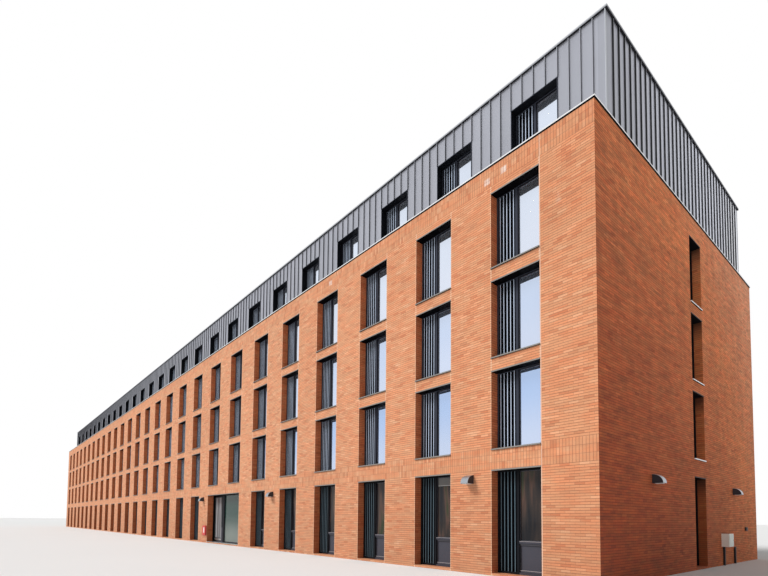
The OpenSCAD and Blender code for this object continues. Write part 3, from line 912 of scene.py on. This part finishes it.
def lamp_cover():
    """A curved sheet over a quarter-round lamp"""
    bm = bmesh.new()
    reach = LIGHT_W / 2 + LAMP_LAP
    ends = [bm.verts.new((x, -LIGHT_OUT - LAMP_SHEET, 0)) for x in (-reach, reach)]
    bmesh.ops.spin(
        bm, geom=[bm.edges.new(ends), *ends], axis=(1, 0, 0), cent=(0, 0, 0), angle=-QUARTER_TURN,
        steps=12, use_merge=False,
    )
    lift = Matrix.Translation((0, 0, LIGHT_TOP - LIGHT_H))
    moved(bm, lift @ Matrix.Diagonal((1, 1, LIGHT_H / LIGHT_OUT, 1)))
    face_outwards(bm)
    if sum(f.normal.z * f.calc_area() for f in bm.faces) < 0:
        bmesh.ops.reverse_faces(bm, faces=bm.faces[:])
    bmesh.ops.solidify(bm, geom=bm.faces[:], thickness=LAMP_SHEET)
    face_outwards(bm)
    return bm


def lamp_lens():
    """The bevelled diffuser under a lamp"""
    foot, half = LIGHT_TOP - LIGHT_H, LENS_HALF * LIGHT_W
    front, back = (-share * LIGHT_OUT for share in LENS_REACH)
    bm = box_mesh((-half, front, foot - LENS_T), (half, back, foot))
    lower = [e for e in bm.edges if min(v.co.z for v in e.verts) < foot - LENS_T / 2]
    return rounded(bm, lower, 0.4 * LENS_T)


def pipe_elbow():
    """The quarter bend on top of the pipe"""
    bm = bmesh.new()
    bmesh.ops.create_circle(bm, segments=16, radius=ELBOW_R)
    bmesh.ops.spin(
        bm, geom=bm.verts[:] + bm.edges[:], cent=(ELBOW_REACH, 0, 0), axis=(0, 1, 0),
        angle=QUARTER_TURN, steps=6, use_merge=False,
    )
    bmesh.ops.holes_fill(bm, edges=bm.edges[:], sides=0)
    face_outwards(bm)
    place = (PIPE_Y + DUCT_W / 2, -DUCT_W / 2, PIPE_TOP - ELBOW_LAP)
    bmesh.ops.translate(bm, verts=bm.verts[:], vec=place)
    return bm


def meter_lock():
    """A short round pin on the meter door"""
    bm = bmesh.new()
    place = (
        METER_Y + METER_W - LOCK_IN, -METER_D - METER_DOOR_T - LOCK_T / 2, METER_FOOT + METER_H / 2
    )
    bmesh.ops.create_cone(
        bm, cap_ends=True, segments=20, radius1=LOCK_R, radius2=0.8 * LOCK_R, depth=LOCK_T,
        matrix=Matrix.Translation(place) @ Matrix.Rotation(QUARTER_TURN, 4, "X"),
    )
    return bm


# Operators


class BLOCK_OT_add_fins(Operator):
    """Add the rounded front edges of the fins, and the fins on the rear"""

    bl_idname = "block.add_fins"
    bl_label = "Add Fins"

    def execute(self, context):
        coat = lit_fin_coating()
        back = FRONT_FACE + FIN_FACE
        front = windows(*BRICK_STOREYS, entrance=True)
        piece("front_fin_edges", upright_fins(front, back - FIN_EDGE, back), coat)
        attic_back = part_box("attic_fins")[0].y
        attic = gather(upright_fins(windows(ATTIC), attic_back - FIN_EDGE, attic_back))
        piece("attic_fin_edges", with_rear(attic), coat)
        rear = upright_fins(windows(*BRICK_STOREYS), back - FIN_EDGE, FRONT_FACE + PANEL_FACE)
        piece("rear_fins", [to_rear(gather(rear))], coat)
        return {"FINISHED"}


class BLOCK_OT_add_beads(Operator):
    """Add the glazing beads round every pane"""

    bl_idname = "block.add_beads"
    bl_label = "Add Glazing Beads"

    def execute(self, context):
        frame_w = sizes().frame_w
        coat = coated("bead_coating", colours().panel, 0.35)
        glass = FRONT_FACE + GLASS_FACE
        front = windows(*BRICK_STOREYS, entrance=True)
        piece("front_beads", beads(front, glass, with_panel=True), coat)
        piece("rear_beads", [to_rear(gather(beads(windows(*BRICK_STOREYS), glass)))], coat)
        attic = gather(beads(windows(ATTIC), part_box("attic_panes")[0].y))
        piece("attic_beads", with_rear(attic), coat)
        for name, pane, body in (
            ("entrance_beads", "entrance_pane", "building"), ("door_beads", "door_glass", "door"),
        ):
            low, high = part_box(pane)
            faces = (low.y, high.y + BEAD_T)
            rings = [bead((low.x, low.z), (high.x, high.z), face) for face in faces]
            piece(name, rings, coat, body=body)
        left, right = RECESS[0] + frame_w, RECESS[1] - frame_w
        rings = [
            bead((left, foot + frame_w), (right, head - frame_w), GABLE_GLASS)
            for foot, head in recess_heights()
        ]
        piece("gable_beads", with_left(moved(gather(rings), on_gable())), coat)
        return {"FINISHED"}


class BLOCK_OT_add_linings(Operator):
    """Add the rails of the ground-floor panels with strips of painted highlight, and the near-black
    linings of painted shade in the gable's recess
    """

    bl_idname = "block.add_linings"
    bl_label = "Add Rails and Linings"

    def execute(self, context):
        foot, rail = window_heights(0)[0], sill_height(0) + MID_RAIL
        glass, frame_face = FRONT_FACE + GLASS_FACE, FRONT_FACE + FIN_FACE - FIN_EDGE
        panel_top, ledge = foot + RAIL_H, rail + sizes().frame_w
        half = RAIL_HIGHLIGHT / 2
        rails, edges = [], []
        for _, bay in windows(0, entrance=True):
            left, right = pane_sides(bay)
            for low, high in ((foot, panel_top), (rail - RAIL_H, rail)):
                rails.append(softened((left, glass - RAIL_OUT, low), (right, glass, high)))
            # Pale strips of painted highlight along the panel's top and the ledge
            for out, face, low, high in (
                (glass - RAIL_OUT - half, glass, panel_top - half, panel_top + half),
                (frame_face - half, frame_face, ledge - RAIL_HIGHLIGHT, ledge),
            ):
                edges.append(softened((left, out, low), (right, face, high), SOFT_THIN))
        piece("panel_rails", rails, coated("rail_coating", colours().panel, 0.4))
        piece("panel_rail_highlights", edges, coated("rail_highlight", (0.34, 0.31, 0.32), 0.4))
        frame_depth = RIGHT_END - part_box("gable_frames")[1].x
        linings = [
            softened((y, LINING_IN, low), (y + LINING_T, frame_depth, high), SOFT_THIN)
            for low, high in recess_heights() for y in (RECESS[0], RECESS[1] - LINING_T)
        ]
        # Near-black linings of painted shade in the recess
        black = coated("lining_shade", RECESS_SHADE, 0.5, 0.1)
        piece("recess_linings", with_left(moved(gather(linings), on_gable())), black)
        return {"FINISHED"}


class BLOCK_OT_add_lamps(Operator):
    """Add the bright curved covers and the lenses of the wall lights"""

    bl_idname = "block.add_lamps"
    bl_label = "Add Lamp Covers"

    def execute(self, context):
        s = sizes()
        places = [
            Matrix.Translation((left_jamb(bay) - (s.bay - s.window_w) / 2, FRONT_FACE, 0))
            for bay in LIT_PIERS
        ] + [on_gable(y) for y in GABLE_LIGHTS]
        steel = bare_metal("lamp_steel", (0.42, 0.45, 0.49), 0.32)
        piece("lamp_covers", [moved(lamp_cover(), place) for place in places], steel)
        lenses = [moved(lamp_lens(), place) for place in places]
        piece("lamp_lenses", lenses, frosted_lens())
        return {"FINISHED"}


class BLOCK_OT_add_joints(Operator):
    """Add the pale movement joints in the brickwork"""

    bl_idname = "block.add_joints"
    bl_label = "Add Movement Joints"

    def execute(self, context):
        half = JOINT_W / 2
        strips = [
            rounded_bar(
                (x - half, FRONT_FACE - JOINT_OUT, 0.0),
                (x + half, FRONT_FACE + JOINT_OUT, BRICK_TOP), 0.4 * JOINT_OUT)
            for x in (right_jamb(1) + JOINT_INSET, left_jamb(sizes().bay_count) - JOINT_INSET)
        ]
        sealant = coated("joint_sealant", colours().sealant, 0.8)
        piece("movement_joints", with_rear(gather(strips)), sealant)
        return {"FINISHED"}


class BLOCK_OT_add_edges(Operator):
    """Add the corner angles of the cladding, and the drip under the flashing as a black strip of
    painted shadow
    """

    bl_idname = "block.add_edges"
    bl_label = "Add Corner Angles and Drip"

    def execute(self, context):
        x, y = RIGHT_END - GABLE_SETBACK, FRONT_FACE + FRONT_SETBACK
        foot, head = (corner.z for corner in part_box("gable_cladding"))
        angle = rounded_bar(
            (x - ANGLE_IN[0], y - ANGLE_IN[1], foot), (x + ANGLE_OUT[0], y + ANGLE_OUT[1], head),
            SOFT_WIDE)
        angles = with_rear(gather(with_left(angle)))
        piece("corner_angles", angles, coated("angle_zinc", (0.58, 0.61, 0.66), 0.35))
        # The drip's black is painted shadow under the flashing
        drip = ring(
            (LEFT_END - DRIP_OUT, -REAR_FACE - DRIP_OUT),
            (RIGHT_END + DRIP_OUT, -FRONT_FACE + DRIP_OUT),
            3 * DRIP_OUT, BRICK_TOP - DRIP_H, BRICK_TOP)
        moved(drip, Matrix.Rotation(QUARTER_TURN, 4, "X"))
        piece("flashing_drip_shadow", [drip], coated("drip_shadow", (0.006, 0.006, 0.007), 0.6, 0.1))
        return {"FINISHED"}


class BLOCK_OT_add_meter_parts(Operator):
    """Add the meter door, the duct clips, the pipe's elbow and the vent's louvres"""

    bl_idname = "block.add_meter_parts"
    bl_label = "Add Meter Parts"

    def execute(self, context):
        black = coated("duct_black", DUCT_BLACK, 0.4)
        door = softened(
            (METER_Y + METER_INSET, -METER_D - METER_DOOR_T, METER_FOOT + METER_INSET),
            (METER_Y + METER_W - METER_INSET, -METER_D, METER_FOOT + METER_H - METER_INSET),
            SOFT_WIDE)
        clips = [
            softened((y - CLIP_LAP, -DUCT_W - CLIP_OUT, share * top),
                     (y + DUCT_W + CLIP_LAP, 0.0, share * top + CLIP_H))
            for y, top in ((DUCT_Y, DUCT_TOP), (PIPE_Y, PIPE_TOP)) for share in CLIP_SHARES
        ]
        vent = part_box("meter_box")[1]
        right = vent.y - FRONT_FACE - LOUVRE_INSET
        left = vent.y - VENT_W - FRONT_FACE + LOUVRE_INSET
        louvres = [
            softened((left, -VENT_D - LOUVRE_T, z - LOUVRE_T), (right, -VENT_D, z + LOUVRE_T))
            for z in (vent.z - k * VENT_H / 4 for k in (1, 2, 3))
        ]
        enamel = coated("door_enamel", (0.92, 0.98, 0.92), 0.4)
        steel = bare_metal("lock_steel", (0.5, 0.5, 0.5), 0.3)
        for name, parts, finish, slot in (
            ("meter_door", [door], enamel, ENAMEL),
            ("meter_lock", [meter_lock()], steel, "steel"),
            ("duct_clips", clips, black, ENAMEL),
            ("pipe_elbow", [pipe_elbow()], black, ENAMEL),
            ("vent_louvres", louvres, black, ENAMEL),
        ):
            piece(name, [moved(part, on_gable()) for part in parts], finish)
        return {"FINISHED"}


class BLOCK_OT_add_entrance_parts(Operator):
    """Add the threshold, the door's kick plate, and the door and plate of the red cabinet"""

    bl_idname = "block.add_entrance_parts"
    bl_label = "Add Entrance Parts"

    def execute(self, context):
        steel = bare_metal("brushed_plate", (0.66, 0.66, 0.65), 0.28)
        low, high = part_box("entrance_frame")
        threshold = softened(
            (low.x, FRONT_FACE - THRESHOLD_OUT, low.z), (high.x, low.y, low.z + THRESHOLD_H),
            0.3 * THRESHOLD_H)
        piece("threshold", [threshold], steel)
        low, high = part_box("entrance_door")
        plate = softened(
            (low.x + KICK_MARGIN, low.y - KICK_T, low.z + KICK_MARGIN),
            (high.x - KICK_MARGIN, low.y, low.z + KICK_H), SOFT_THIN)
        piece("kick_plate", [plate], steel, "door")
        low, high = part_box("riser_cabinet")
        door = softened(
            (low.x + RISER_LIP, low.y - RISER_DOOR_T, low.z + RISER_LIP),
            (high.x - RISER_LIP, low.y, high.z - RISER_LIP))
        red = coated("door_red", (0.60, 0.03, 0.03), 0.35)
        piece("riser_door", [door], red)
        middle = (low.x + high.x) / 2
        label = softened(
            (middle + LABEL_X[0], low.y - LABEL_T, low.z + LABEL_Z[0]),
            (middle + LABEL_X[1], low.y - RISER_DOOR_T, high.z + LABEL_Z[1]), 0.5 * SOFT)
        blank = coated("blank_plate", (0.80, 0.78, 0.76), 0.5)
        piece("riser_plate", [label], blank)
        return {"FINISHED"}


class BLOCK_OT_finish_walls(Operator):
    """Give the brick walls, the floors and the roof their materials"""

    bl_idname = "block.finish_walls"
    bl_label = "Finish Walls"

    def execute(self, context):
        walls = [n for n in NODES if n.endswith(("_piers", "_bands", "_sides"))]
        walls.remove("attic_piers")
        dress(brick(), *walls)
        floors = [n for n in NODES if n.endswith("_floor")]
        concrete = mineral("cast_concrete", colours().concrete, 160.0)
        dress(concrete, *floors, "attic_piers", "attic_lintels", "attic_end_walls")
        dress(mineral("roof_membrane", (0.30, 0.30, 0.30), 420.0), "roof_slab")
        return {"FINISHED"}


class BLOCK_OT_finish_attic(Operator):
    """Give the cladding, coping, flashing and gable sills their materials"""

    bl_idname = "block.finish_attic"
    bl_label = "Finish Attic"

    def execute(self, context):
        c = colours()
        dress(zinc("front_zinc", False), "pier_cladding", "head_cladding")
        dress(zinc("gable_zinc", True), "gable_cladding")
        # Painted highlight on the coping's rim, painted shade on the undersides of coping and
        # flashing
        rim_highlight, underside_shade = (0.55, 0.56, 0.59), (0.030, 0.030, 0.034)
        dress(edged_metal("coping_metal", c.coping, underside_shade, rim_highlight=rim_highlight), "roof_coping")
        dress(edged_metal("pale_trim", c.trim, UNDERSIDE_SHADE, 0.6), "parapet_flashing")
        dress(gable_trim_coating(), "gable_trim")
        return {"FINISHED"}


class BLOCK_OT_finish_windows(Operator):
    """Give the frames, fins, sills and glass their materials"""

    bl_idname = "block.finish_windows"
    bl_label = "Finish Windows"

    def execute(self, context):
        frames = [n for n in NODES if n.endswith("_frames")]
        dress(shaded_frame_coating(), *frames, "entrance_frame", "entrance_door")
        # Painted shade on the undersides of sills and lintel plates
        underside_shade = (0.003, 0.003, 0.004)
        trim = edged_metal("trim_coating", colours().edge_trim, underside_shade)
        dress(trim, "front_trim", "rear_sills")
        dress(panel_coating_with_shade(), "front_fins", "attic_fins")
        dress(glazing(), "front_panes", "rear_panes", "attic_panes", "entrance_pane")
        dress(dim_glass(), "gable_panes")
        dress(curtained_glass(), "door_glass")
        return {"FINISHED"}


class BLOCK_OT_finish_fittings(Operator):
    """Give the lamps, cabinets and door furniture their materials"""

    bl_idname = "block.finish_fittings"
    bl_label = "Finish Fittings"

    def execute(self, context):
        dress(bare_metal("brushed_steel", (0.62, 0.62, 0.62), 0.25), "door_handle", "door_hinges")
        dress(coated("lamp_grey", (0.018, 0.020, 0.028), 0.4), "wall_lights")
        dress(meter_finish(), "meter_box")
        dress(coated("cabinet_red", (0.50, 0.035, 0.03), 0.4), "riser_cabinet")
        return {"FINISHED"}


class BLOCK_OT_set_stage(Operator):
    """Add the pale floor, the studio light and the camera"""

    bl_idname = "block.set_stage"
    bl_label = "Set Stage"

    def execute(self, context):
        floor = bmesh.new()
        bmesh.ops.create_grid(floor, x_segments=1, y_segments=1, size=FLOOR_REACH)
        made = solid("studio_floor", floor, pale_floor())
        studio_light()
        photo_camera()
        return {"FINISHED"}


def studio_light():
    """A white surround and one broad soft light from the front left"""
    world = Finish("studio", "worlds")
    camera, glossy, through = (
        world.node("LightPath", output=f"Is {kind} Ray")
        for kind in ("Camera", "Glossy", "Transmission")
    )
    seen = camera.greater(glossy).greater(through)
    strength = world.node("MapRange", {"Value": seen, "To Min": SKY_FILL, "To Max": 1.0})
    white = world.node("Background", {"Color": (1.0, 1.0, 1.0), "Strength": strength})
    bpy.context.scene.world = world.end("World", white)

    sun = bpy.data.lights.new("soft_key", "SUN")
    sun.energy, sun.angle = SUN_STRENGTH, SUN_WIDTH
    made = linked("soft_key", sun)
    made.rotation_euler = SUN_FROM.to_track_quat("Z", "Y").to_euler()
    made.visible_glossy = False


def photo_camera():
    """The camera at the photograph's place, heading, tilt and roll, with its lens shifted"""
    lens = bpy.data.cameras.new("photo_camera")
    lens.sensor_width, lens.lens = SENSOR, LENS
    lens.shift_x, lens.shift_y = SHIFT_X, SHIFT_Y
    lens.clip_start, lens.clip_end = VIEW_NEAR, VIEW_FAR
    level = Vector((math.cos(HEADING), math.sin(HEADING), 0.0))
    forward = level * math.cos(PITCH) + Vector((0.0, 0.0, math.sin(PITCH)))
    right = Vector((level.y, -level.x, 0.0))
    up = right.cross(forward)
    right, up = (
        right * math.cos(ROLL) + up * math.sin(ROLL),
        up * math.cos(ROLL) - right * math.sin(ROLL),
    )
    turn = Matrix((right, up, -forward)).transposed().to_4x4()
    place = (RIGHT_END + CAMERA_RIGHT_OF_END, FRONT_FACE - CAMERA_BEFORE_FRONT, CAMERA_HEIGHT)
    made = linked("photo_camera", lens)
    made.matrix_world = Matrix.Translation(place) @ turn
    bpy.context.scene.camera = made


OPERATORS = (
    BLOCK_OT_add_fins,
    BLOCK_OT_add_beads,
    BLOCK_OT_add_linings,
    BLOCK_OT_add_joints,
    BLOCK_OT_add_lamps,
    BLOCK_OT_add_edges,
    BLOCK_OT_add_meter_parts,
    BLOCK_OT_add_entrance_parts,
    BLOCK_OT_finish_walls,
    BLOCK_OT_finish_attic,
    BLOCK_OT_finish_windows,
    BLOCK_OT_finish_fittings,
    BLOCK_OT_set_stage,
)


class BLOCK_PT_finishes(Panel):
    """Lists the block's operators, sizes and colours"""

    bl_idname = "BLOCK_PT_finishes"
    bl_label = "Apartment Block"
    bl_space_type = "VIEW_3D"
    bl_region_type = "UI"
    bl_category = "Block"

    def draw(self, context):
        for group in (context.scene.block_sizes, context.scene.block_colours):
            box = self.layout.box()
            for name in group.__annotations__:
                box.prop(group, name)
        for operator in OPERATORS:
            self.layout.operator(operator.bl_idname)


CLASSES = (BlockSizes, BlockColours, *OPERATORS, BLOCK_PT_finishes)


def register():
    for each in CLASSES:
        bpy.utils.register_class(each)
    bpy.types.Scene.block_sizes = PointerProperty(type=BlockSizes)
    bpy.types.Scene.block_colours = PointerProperty(type=BlockColours)


def unregister():
    del bpy.types.Scene.block_colours
    del bpy.types.Scene.block_sizes
    for each in reversed(CLASSES):
        bpy.utils.unregister_class(each)


def main():
    bpy.context.scene.view_settings.view_transform = "Standard"
    register()
    for operator in OPERATORS:
        group, name = operator.bl_idname.split(".")
        getattr(getattr(bpy.ops, group), name)()


if __name__ == "__main__":
    main()
